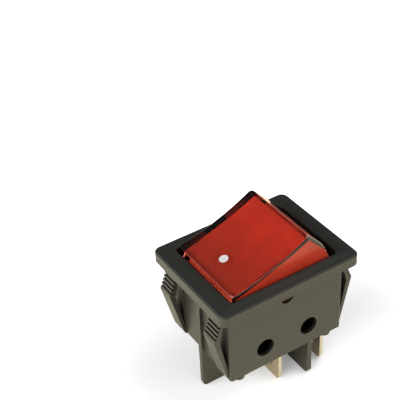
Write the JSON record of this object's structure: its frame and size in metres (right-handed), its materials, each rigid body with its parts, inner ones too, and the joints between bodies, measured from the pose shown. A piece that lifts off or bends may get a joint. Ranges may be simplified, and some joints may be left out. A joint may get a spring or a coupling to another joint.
{
  "type": "panel rocker switch",
  "caption": "Snap-in panel rocker switch with a black housing, a red translucent lit rocker and blade terminals between rear fins.",
  "frame": {"origin": "middle of the plane that the rear fins stand on, below the middle of the bezel", "axes": "+X along the long side towards the end with the line terminals, +Y across, +Z out of the panel front"},
  "size_m": [0.0344, 0.0262, 0.0376],
  "materials": {
    "housing_black": "satin moulded",
    "rocker_red": "gloss translucent",
    "tinned_brass": "tinned",
    "contact_silver": "satin",
    "arm_copper": "rolled",
    "plunger_brass": "turned",
    "spring_steel": "drawn wire",
    "tinned_wire": "tinned",
    "lamp_glass": "clear",
    "resistor_body": "lacquered"
  },
  "bodies": {
    "housing": {"housing": "housing_black", "common_terminal_front": "tinned_brass", "common_terminal_rear": "tinned_brass", "line_terminal_front": "tinned_brass", "line_terminal_rear": "tinned_brass", "fixed_contact_front": "contact_silver", "fixed_contact_rear": "contact_silver"},
    "rocker": {"rocker": "rocker_red", "lamp": "lamp_glass", "lamp_lead_front": "tinned_wire", "lamp_lead_rear": "tinned_wire", "lamp_resistor": "resistor_body", "resistor_lead": "tinned_wire", "plunger_spring_front": "spring_steel", "plunger_spring_rear": "spring_steel"},
    "arm_front": {"contact_arm_front": "arm_copper", "moving_contact_front": "contact_silver"},
    "arm_rear": {"contact_arm_rear": "arm_copper", "moving_contact_rear": "contact_silver"},
    "plunger_front": {"plunger_front": "plunger_brass"},
    "plunger_rear": {"plunger_rear": "plunger_brass"}
  },
  "joints": [
    {"name": "rocker_tilt", "type": "hinge", "parent": "housing", "child": "rocker", "pos_m": [0, 0, 0.0258], "axis": [0, 1, 0], "range_deg": [0, 40]},
    {"name": "arm_front_tilt", "type": "hinge", "parent": "housing", "child": "arm_front", "pos_m": [0, -0.00537, 0.0148], "axis": [0, 1, 0], "range_deg": [-14, 0]},
    {"name": "plunger_front_slide", "type": "slide", "parent": "rocker", "child": "plunger_front", "axis": [-0.342, 0, 0.9397], "range_m": [0, 0.0008], "stiffness_N_per_m": 500, "springref_m": -0.002, "deforming": ["plunger_spring_front"]},
    {"name": "arm_rear_tilt", "type": "hinge", "parent": "housing", "child": "arm_rear", "pos_m": [0, 0.00537, 0.0148], "axis": [0, 1, 0], "range_deg": [-14, 0]},
    {"name": "plunger_rear_slide", "type": "slide", "parent": "rocker", "child": "plunger_rear", "axis": [-0.342, 0, 0.9397], "range_m": [0, 0.0008], "stiffness_N_per_m": 500, "springref_m": -0.002, "deforming": ["plunger_spring_rear"]}
  ],
  "couplings": [
    {"joint": "arm_front_tilt", "follows": "rocker_tilt", "ratio": -0.35},
    {"joint": "arm_rear_tilt", "follows": "rocker_tilt", "ratio": -0.35}
  ]
}
